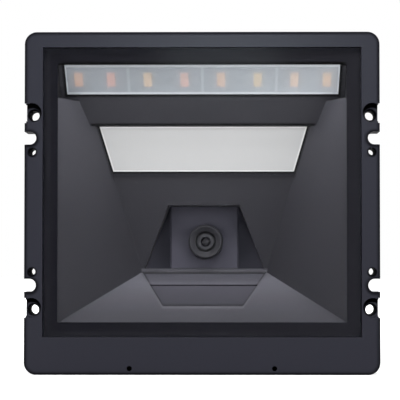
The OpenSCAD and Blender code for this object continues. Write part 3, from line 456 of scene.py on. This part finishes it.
def moulded(name, colour, roughness, specular=0.5, drift=0.05, grain=2500.0, depth=0.02):
    """Moulded plastic, rubber or film: clouded colour and gloss over a fine grain."""
    material, tree, shader = new_material(name)
    tone = place_group(tree, TONE_DRIFT, Color=(*colour, 1.0), Amount=drift, Roughness=roughness)
    feed(tree, shader.inputs["Base Color"], tone["Color"])
    feed(tree, shader.inputs["Roughness"], tone["Roughness"])
    shader.inputs["Specular IOR Level"].default_value = specular
    bump = add(tree, "ShaderNodeBump")
    bump.inputs["Strength"].default_value = 0.35
    bump.inputs["Distance"].default_value = depth * MM
    feed(tree, bump.inputs["Height"], place_group(tree, MOULDED_GRAIN, Scale=grain)["Height"])
    feed(tree, shader.inputs["Normal"], bump.outputs["Normal"])
    return material


def metal(name, colour, roughness):
    """Plated or anodised metal."""
    material = moulded(name, colour, roughness, grain=1800.0, depth=0.01)
    material.node_tree.nodes["Principled BSDF"].inputs["Metallic"].default_value = 1.0
    return material


def see_through(name, colour, roughness, opacity):
    """A clear or frosted sheet, by how much of what lies behind it is hidden."""
    material = moulded(name, colour, roughness, drift=0.02, depth=0.004)
    material.node_tree.nodes["Principled BSDF"].inputs["Alpha"].default_value = opacity
    return material


def colour_link(material):
    """The material's tree and shader, and the socket that feeds its colour."""
    tree = material.node_tree
    shader = tree.nodes["Principled BSDF"]
    return tree, shader, shader.inputs["Base Color"].links[0].from_socket


def painted(material, mask, colour):
    """Mixes a second colour into a material where a mask is 1; a function of the tree makes the mask."""
    tree, shader, base = colour_link(material)
    strength = mask(tree)
    feed(tree, shader.inputs["Base Color"], mixed(tree, strength, base, (*colour, 1.0)))
    return strength


def with_painted_depth_light(material, floor_base, floor_gain, wall_base, wall_gain):
    """Lets a colour in the hood follow the light that falls into the funnel."""
    tree, shader, base = colour_link(material)
    low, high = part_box("optical_hood")
    tone = place_group(tree, PAINTED_DEPTH_LIGHT, **{
        "Front": low.y, "Back": low.y + FUNNEL_SHARE * (high.y - low.y),
        "Floor Base": floor_base, "Floor Gain": floor_gain, "Wall Base": wall_base, "Wall Gain": wall_gain})
    feed(tree, shader.inputs["Base Color"], scaled(tree, base, tone["Gain"]))
    return material


# Bezel

def less(tree, value, length):
    """A value in metres less a length in mm."""
    return calc(tree, "SUBTRACT", value, length * MM)


def from_hole(tree, x, z, radius):
    """Distance in metres from a round hole's wall; x and z count from its axis, the radius is in mm."""
    return place_group(tree, ROD_DISTANCE, X=x, Z=z, Radius=radius * MM)["Distance"]


def bezel_edge(tree, point, across):
    """The dark line of painted shade round the front of the bezel."""
    half_w = (bezel_high.x - bezel_low.x) / 2 / MM
    half_h = (bezel_high.z - bezel_low.z) / 2 / MM
    from_middle = calc(tree, "ABSOLUTE", calc(tree, "SUBTRACT", point["Z"], face_centre.z))
    corner_x = less(tree, across, half_w - CORNER_MM)
    corner_z = less(tree, from_middle, half_h - CORNER_MM)
    beyond_x, beyond_z = (calc(tree, "MAXIMUM", corner, 0.0) for corner in (corner_x, corner_z))
    outside = from_hole(tree, beyond_x, beyond_z, CORNER_MM)
    within = calc(tree, "MINIMUM", calc(tree, "MAXIMUM", corner_x, corner_z), 0.0)
    rim = calc(tree, "MULTIPLY", calc(tree, "ADD", outside, within), -1.0)
    return where_all(tree, fading(tree, rim, EDGE_LINE_MM, EDGE_SHADE),
                     fading(tree, point["Y"], EDGE_DEPTH_MM, start=bezel_low.y))


def pocket_shade(tree, point, across):
    """The shadow under the upper wall of each screw pocket."""
    x, rise, radius = POCKET_MM
    screw_z = calc(tree, "MULTIPLY", calc(tree, "SIGN", point["Z"]), EAR_HOLES_MM[0][1] * MM)
    above = less(tree, calc(tree, "SUBTRACT", point["Z"], screw_z), rise)
    off_axis = less(tree, across, x)
    in_pocket = fading(tree, from_hole(tree, off_axis, above, radius), (0.0, 0.1))
    lowered = calc(tree, "ADD", above, POCKET_SHADE_MM * MM)
    shade = spread(tree, from_hole(tree, off_axis, lowered, radius), -0.6 * MM, 0.1 * MM)
    return where_all(tree, in_pocket, shade, POCKET_SHADE)


def bezel_shade(tree):
    """What lies in shadow on the bezel: its edges, its holes' and slots' walls, and its pockets' tops."""
    point = place(tree)
    across = calc(tree, "ABSOLUTE", point["X"])
    upright = calc(tree, "ABSOLUTE", point["Z"])
    lines = [bezel_edge(tree, point, across), pocket_shade(tree, point, across)]
    x, z, radius = SLOT_MM
    slot_end = calc(tree, "MINIMUM", less(tree, across, x), 0.0)
    slot = from_hole(tree, slot_end, less(tree, upright, z), radius)
    lines.append(fading(tree, slot, EDGE_LINE_MM, EDGE_SHADE))
    for x, z, radius in EAR_HOLES_MM:
        hole = from_hole(tree, less(tree, across, x), less(tree, upright, z), radius)
        lines.append(fading(tree, hole, HOLE_LINE_MM, HOLE_SHADE))
    x, up, radius = PIN_HOLE_MM
    above_pin = calc(tree, "SUBTRACT", point["Z"], bezel_low.z + up * MM)
    lines.append(fading(tree, from_hole(tree, less(tree, across, x), above_pin, radius), PIN_LINE_MM))
    return where_any(tree, *lines)


def make_bezel():
    """The bezel's gloss plastic, dull where it lies in shadow."""
    material = moulded(
        "bezel_plastic", (0.0096, 0.0096, 0.0162), 0.29, specular=0.17, drift=0.02, depth=0.008)
    shade = painted(material, bezel_shade, BLACK)
    tree = material.node_tree
    shader = tree.nodes["Principled BSDF"]
    feed(tree, shader.inputs["Metallic"], shade)
    gloss = shader.inputs["Roughness"].links[0].from_socket
    feed(tree, shader.inputs["Roughness"], where_any(tree, gloss, shade))
    return material


# Window's border

# Painted light along the outside of the window's border, on its bevelled edge
def lit_border_edge(tree):
    return fading(tree, inside_face(tree, "window_tape", (0, 1, 2, 3)), LIT_BORDER_EDGE_MM, 0.8)


def above_bar(tree):
    """The shadow on the border just over the light bar."""
    point = place(tree)
    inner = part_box("window_tape")[1].z - TAPE_TOP_MM * MM
    full, gone = ABOVE_BAR_MM
    rise, fall = (inner - 0.2 * MM, inner - 0.1 * MM), (inner + full * MM, inner + gone * MM)
    near = band(tree, point["Z"], rise, fall)
    bar_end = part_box("light_bar_cover")[1].x
    return where_all(tree, near, fading(tree, calc(tree, "ABSOLUTE", point["X"]), (0.0, 1.0), start=bar_end))


def make_tape():
    """Black tape, a little paler to the right, with painted light along its outer edge."""
    material = moulded("frame_tape", (0.0056, 0.0055, 0.0082), 0.7, specular=0.04)
    low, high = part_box("window_tape")
    painted(material, lambda tree: level(tree, place(tree)["X"], low.x, high.x), (0.0100, 0.0098, 0.0130))
    painted(material, lit_border_edge, (0.0125, 0.0125, 0.0160))
    painted(material, above_bar, BLACK)
    return material


# Floor insert

def sill_top(tree):
    """Painted light on the upper face of the insert's sill, paler towards its front."""
    inside = inside_face(tree, "floor_insert", (0,), UP)
    return where_all(tree, spread(tree, inside, -4.5 * MM, -0.3 * MM, 0.12, 0.45),
                     calc(tree, "LESS_THAN", inside, -0.2 * MM))


def make_insert():
    """The insert of the funnel's floor, with painted shade along its seams and painted light on its sill."""
    plastic = moulded("insert_plastic", (0.0405, 0.0395, 0.0485), 0.60, specular=0.12)
    material = with_painted_depth_light(plastic, 0.0, 1.5, 0.0, 0.0)
    painted(material, lambda tree: rim_mask(tree, "floor_insert", SEAM_SHADE_MM, UP), (0.030, 0.030, 0.036))
    painted(material, sill_top, (0.16, 0.157, 0.18))
    return material


# Hood

def seat_lip(tree):
    """The rounded lip of the insert's seat, which catches the light."""
    corners, normal = face_corners("floor_insert", UP)
    distances = edge_distances(tree, corners, normal, SEAT_LIP_MM)
    shares = [calc(tree, "DIVIDE", distance, width * MM)
              for distance, width in zip(distances, SEAT_LIP_MM.values())]
    near = spread(tree, joined(tree, "MINIMUM", shares), -1.6, -1.0)
    upward = spread(tree, facing(tree)["Z"], *UPWARD)
    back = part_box("floor_insert")[1].y
    before_sill = spread(tree, place(tree)["Y"], back - 0.5 * MM, back, 0.8, 0.0)
    return where_all(tree, near, upward, before_sill)


def notch_sides(tree):
    """The camera duct's side walls, which the holder's front lights a little."""
    normal = facing(tree)
    deep = calc(tree, "GREATER_THAN", place(tree)["Y"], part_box("floor_insert")[1].y - 9.0 * MM)
    overhung = where_all(tree, spread(tree, normal["Z"], -0.9, -0.3, 0.8, 0.14),
                         calc(tree, "LESS_THAN", normal["Z"], -0.3))
    across = calc(tree, "LESS_THAN", calc(tree, "ABSOLUTE", normal["Y"]), 0.3)
    return where_all(tree, deep, across, overhung)


def beside_bar(tree):
    """The side walls next to the light bar, which get no light."""
    side = calc(tree, "GREATER_THAN", calc(tree, "ABSOLUTE", facing(tree)["X"]), 0.5)
    return where_all(tree, side, spread(tree, place(tree)["Z"], (BAY_FLOOR_MM - 0.3) * MM, BAY_FLOOR_MM * MM))


def visor_lip(tree):
    """The shadow on the visor's lower edge."""
    point = place(tree)
    y, z = (value * MM for value in VISOR_EDGE_MM)
    full, gone = VISOR_LIP_MM
    edge = band(tree, point["Z"], (z - 0.2 * MM, z - 0.1 * MM), (z + full * MM, z + gone * MM))
    forward = calc(tree, "LESS_THAN", point["Y"], y + 0.3 * MM)
    visor_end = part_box("diffuser_panel")[1].x + 1.5 * MM
    over_panel = calc(tree, "LESS_THAN", calc(tree, "ABSOLUTE", point["X"]), visor_end)
    return where_all(tree, edge, forward, over_panel)


def shade_lines(tree):
    """The shadows round the light bar and the panel, and on the visor's edge."""
    below_panel = where_all(tree, round_face(tree, "diffuser_panel", *BELOW_PANEL_MM), BELOW_PANEL_SHADE)
    return where_any(tree, round_face(tree, "light_bar_cover", *BAR_SHADE_MM),
                     round_face(tree, "diffuser_panel", *PANEL_SHADE_MM), below_panel, visor_lip(tree))


def ridge(low, high):
    """A function for the mask of the floor's ridge between two heights, in mm above the insert's top; the
    hood paints shade and highlights there.
    """
    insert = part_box("floor_insert")[1]

    def mask(tree):
        point = place(tree)
        edges = [insert.y, insert.y + 1.0 * MM, insert.z + low * MM, insert.z + high * MM]
        front, back = ((edge - 0.1 * MM, edge + 0.1 * MM) for edge in edges[:2])
        bottom, top = ((edge - 0.05 * MM, edge + 0.05 * MM) for edge in edges[2:])
        return where_all(tree, band(tree, point["Y"], front, back), band(tree, point["Z"], bottom, top))

    return mask


def make_hood():
    """The funnel's charcoal plastic, with painted light and shade: its shadows, its lit lip, and a shaded
    foot and lit bevels on its ridge.
    """
    plastic = moulded("hood_plastic", (0.0456, 0.0449, 0.0528), 0.60, specular=0.12)
    material = with_painted_depth_light(plastic, 0.26, 2.72, -0.01, 0.95)
    painted(material, seat_lip, (0.115, 0.112, 0.128))
    painted(material, notch_sides, (0.26, 0.254, 0.285))
    painted(material, beside_bar, (0.017, 0.017, 0.021))
    painted(material, shade_lines, SHADE)
    # painted shade at the foot of the floor's ridge, and painted highlights on its bevels above
    painted(material, ridge(-1.0, 0.65), (0.034, 0.034, 0.039))
    painted(material, ridge(0.65, 1.15), (0.078, 0.076, 0.088))
    painted(material, ridge(1.15, 2.0), (0.122, 0.120, 0.138))
    return material


# Lights of the part

def make_diffuser():
    """The opal panel, with a faint glow and a paler rim painted in as light."""
    material = moulded("white_diffuser", (0.39, 0.39, 0.393), 0.45, drift=0.01)
    painted(material, lambda tree: rim_mask(tree, "diffuser_panel", PANEL_RIM_MM), (0.62, 0.62, 0.62))
    shader = material.node_tree.nodes["Principled BSDF"]
    shader.inputs["Emission Color"].default_value = (1.0, 1.0, 1.0, 1.0)
    shader.inputs["Emission Strength"].default_value = 0.25
    return material


def dense_cover(tree):
    """The cover's rim, and fainter the lines in front of the tray's dividers."""
    rim = rim_mask(tree, "light_bar_cover", COVER_RIM_MM)
    low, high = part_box("light_bar_tray")
    cell = CELL_SHARE * (high.x - low.x)
    from_middle = calc(tree, "ABSOLUTE", calc(tree, "SUBTRACT", place(tree)["X"], (low.x + high.x) / 2))
    from_cell = calc(tree, "ABSOLUTE", calc(tree, "SUBTRACT", from_middle, cell))
    nearest = calc(tree, "MINIMUM", from_middle, from_cell)
    return where_any(tree, rim, fading(tree, nearest, (0.15, 0.85), 0.34))


def make_cover():
    """Frosted cover: painted shade at its top, and a painted glow that grows to the right."""
    material = see_through("frosted_cover", (0.470, 0.502, 0.538), 0.5, 0.62)
    mask = painted(material, dense_cover, (0.645, 0.67, 0.70))
    tree, shader, base = colour_link(material)
    feed(tree, shader.inputs["Alpha"], spread(tree, mask, 0.0, 1.0, 0.62, 0.95))
    point = place(tree)
    low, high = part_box("light_bar_cover")
    shade = spread(tree, point["Z"], low.z, high.z, 1.0, COVER_TOP_SHADE)
    feed(tree, shader.inputs["Base Color"], scaled(tree, base, shade))
    low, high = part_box("light_bar_tray")
    glow = calc(tree, "POWER", level(tree, point["X"], low.x, high.x), 2.0)
    left, right = (0.043, 0.052, 0.062, 1.0), (0.165, 0.177, 0.192, 1.0)
    feed(tree, shader.inputs["Emission Color"], mixed(tree, glow, left, right))
    shader.inputs["Emission Strength"].default_value = 1.0
    return material


def make_lamp_resin():
    """Phosphor over the lamps, a little different from lamp to lamp."""
    material = moulded("lamp_resin", LAMP_TINTS[0], 0.4)
    tree = material.node_tree
    shader = tree.nodes["Principled BSDF"]
    low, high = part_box("light_bar_lamps")
    ramp = add(tree, "ShaderNodeValToRGB")
    ramp.color_ramp.interpolation = "CONSTANT"
    stops = ramp.color_ramp.elements
    stops.remove(stops[-1])
    for i, tint in enumerate(LAMP_TINTS):
        stop = stops[0] if i == 0 else stops.new(i / len(LAMP_TINTS))
        stop.color = (*tint, 1.0)
    feed(tree, ramp.inputs["Fac"], level(tree, place(tree)["X"], low.x, high.x))
    feed(tree, shader.inputs["Base Color"], ramp.outputs["Color"])
    feed(tree, shader.inputs["Emission Color"], ramp.outputs["Color"])
    shader.inputs["Emission Strength"].default_value = 1.2
    return material


MATERIALS = {
    "bezel_plastic": make_bezel(),
    "hood_plastic": make_hood(),
    "insert_plastic": make_insert(),
    "housing_plastic": moulded("housing_plastic", (0.024, 0.024, 0.028), 0.50, specular=0.25),
    "holder_plastic": moulded("holder_plastic", (0.066, 0.064, 0.084), 0.60, specular=0.12),
    "window_glass": see_through("window_glass", (0.01, 0.01, 0.012), 0.10, 0.016),
    "frame_tape": make_tape(),
    "frosted_cover": make_cover(),
    "white_diffuser": make_diffuser(),
    "reflector_white": moulded("reflector_white", (0.75, 0.75, 0.76), 0.35, drift=0.01),
    "lamp_resin": make_lamp_resin(),
    "board_green": moulded("board_green", (0.02, 0.12, 0.05), 0.35),
    "board_white": moulded("board_white", (0.50, 0.51, 0.51), 0.4, drift=0.01),
    "lens_black": moulded("lens_black", (0.0310, 0.0305, 0.036), 0.44, specular=0.22),
    "lens_glass": moulded("lens_glass", (0.019, 0.0185, 0.023), 0.25, specular=0.20, depth=0.0),
    "sensor_chip": moulded("sensor_chip", (0.03, 0.03, 0.05), 0.2),
    "screw_steel": metal("screw_steel", (0.45, 0.45, 0.47), 0.35),
    "shield_steel": metal("shield_steel", (0.60, 0.60, 0.61), 0.3),
    "contact_gold": metal("contact_gold", (0.80, 0.58, 0.22), 0.25),
    "flex_film": moulded("flex_film", (0.45, 0.20, 0.05), 0.3),
    "socket_plastic": moulded("socket_plastic", (0.015, 0.015, 0.016), 0.4),
    "connector_plastic": moulded("connector_plastic", (0.60, 0.58, 0.50), 0.45),
    "seal_rubber": moulded("seal_rubber", (0.012, 0.012, 0.013), 0.75, specular=0.2),
}

for part in frame["record"]["subparts"]:
    mesh = nodes[part["node"]].data
    mesh.materials.clear()
    mesh.materials.append(MATERIALS[part["material_slot"]])


def bevel(node, width):
    """Rounds the sharp edges a little, so that they catch the light; the flat faces stay flat in shading."""
    piece = nodes[node]
    weld = piece.modifiers.new("weld", "WELD")
    weld.merge_threshold = 0.001 * MM
    flat = piece.modifiers.new("flat", "DECIMATE")
    flat.decimate_type = "DISSOLVE"
    flat.angle_limit = math.radians(0.5)
    rounding = piece.modifiers.new("bevel", "BEVEL")
    rounding.width = width * MM
    rounding.segments = 2
    rounding.limit_method = "ANGLE"
    rounding.angle_limit = math.radians(20)
    shading = piece.modifiers.new("shading", "WEIGHTED_NORMAL")
    shading.mode = "FACE_AREA"
    shading.weight = 100


for node, width in BEVELS_MM.items():
    bevel(node, width)


# Camera and studio

def add_to_scene(name, data):
    thing = bpy.data.objects.new(name, data)
    bpy.context.scene.collection.objects.link(thing)
    return thing


def make_camera():
    """Looks from the photograph's viewpoint; the shift puts the face's middle where the photograph has it."""
    data = bpy.data.cameras.new("camera")
    camera = add_to_scene("camera", data)
    ahead = [(STRAIGHT_AHEAD_PX[i] - FACE_CENTRE_PX[i]) * FACE_SCALE for i in (0, 1)]
    camera.location = (face_centre.x + ahead[0], face_centre.y - CAMERA_DISTANCE, face_centre.z - ahead[1])
    camera.rotation_euler = (math.radians(90) + CAMERA_PITCH, 0, CAMERA_YAW)
    focal_px = CAMERA_DISTANCE / FACE_SCALE
    data.sensor_width = 36.0
    data.lens = data.sensor_width * focal_px / PHOTO_SIDE
    axis_px = (STRAIGHT_AHEAD_PX[0] - focal_px * math.tan(CAMERA_YAW),
               STRAIGHT_AHEAD_PX[1] - focal_px * math.tan(CAMERA_PITCH))
    data.shift_x = (PHOTO_SIDE / 2 - axis_px[0]) / PHOTO_SIDE
    data.shift_y = (axis_px[1] - PHOTO_SIDE / 2) / PHOTO_SIDE
    data.clip_start = 0.01
    data.clip_end = 20
    bpy.context.scene.camera = camera


def seen_directly(tree):
    """1 for rays that show the studio itself: from the camera, off gloss or through glass."""
    path = add(tree, "ShaderNodeLightPath").outputs
    return where_any(tree, path["Is Camera Ray"], path["Is Glossy Ray"], path["Is Transmission Ray"])


def make_floor():
    """Pale floor that reads as white far away, and keeps the shadow near the part."""
    half = FLOOR_SIDE / 2
    z = cad_box[0].z
    mesh = bpy.data.meshes.new("floor")
    corners = [(-half, -half, z), (half, -half, z), (half, half, z), (-half, half, z)]
    mesh.from_pydata(corners, [], [(0, 1, 2, 3)])
    floor = add_to_scene("floor", mesh)
    material, tree, shader = new_material("pale_floor")
    shader.inputs["Base Color"].default_value = (*FLOOR_COLOUR, 1.0)
    shader.inputs["Roughness"].default_value = 0.9
    shader.inputs["Specular IOR Level"].default_value = 0.0
    shader.inputs["Emission Color"].default_value = (1.0, 1.0, 1.0, 1.0)
    from_part = vector_calc(tree, "LENGTH", object_point(tree))
    whiteness = spread(tree, from_part, *SHADOW_REACH, SHADOW_LEVEL, 1.0)
    feed(tree, shader.inputs["Emission Strength"], where_all(tree, seen_directly(tree), whiteness))
    mesh.materials.append(material)


def make_world():
    """White where it is seen, and a faint light from all sides."""
    world = bpy.data.worlds.new("studio")
    bpy.context.scene.world = world
    world.use_nodes = True
    tree = world.node_tree
    background = tree.nodes["Background"]
    feed(tree, background.inputs["Strength"],
         calc(tree, "MULTIPLY_ADD", seen_directly(tree), 1.0 - WORLD_LIGHT, WORLD_LIGHT))
    background.inputs["Color"].default_value = (1.0, 1.0, 1.0, 1.0)


def make_soft_box(name, offset, width, height, watts, colour):
    """A soft box that looks at the middle of the part's face."""
    data = bpy.data.lights.new(name, "AREA")
    data.shape = "RECTANGLE"
    data.size = width
    data.size_y = height
    data.energy = watts
    data.color = colour
    lamp = add_to_scene(name, data)
    lamp.location = face_centre + Vector(offset)
    lamp.rotation_euler = (-Vector(offset)).to_track_quat("-Z", "Y").to_euler()


make_camera()
make_floor()
make_world()
for soft_box in SOFT_BOXES:
    make_soft_box(*soft_box)

bpy.context.scene.view_settings.view_transform = "Standard"
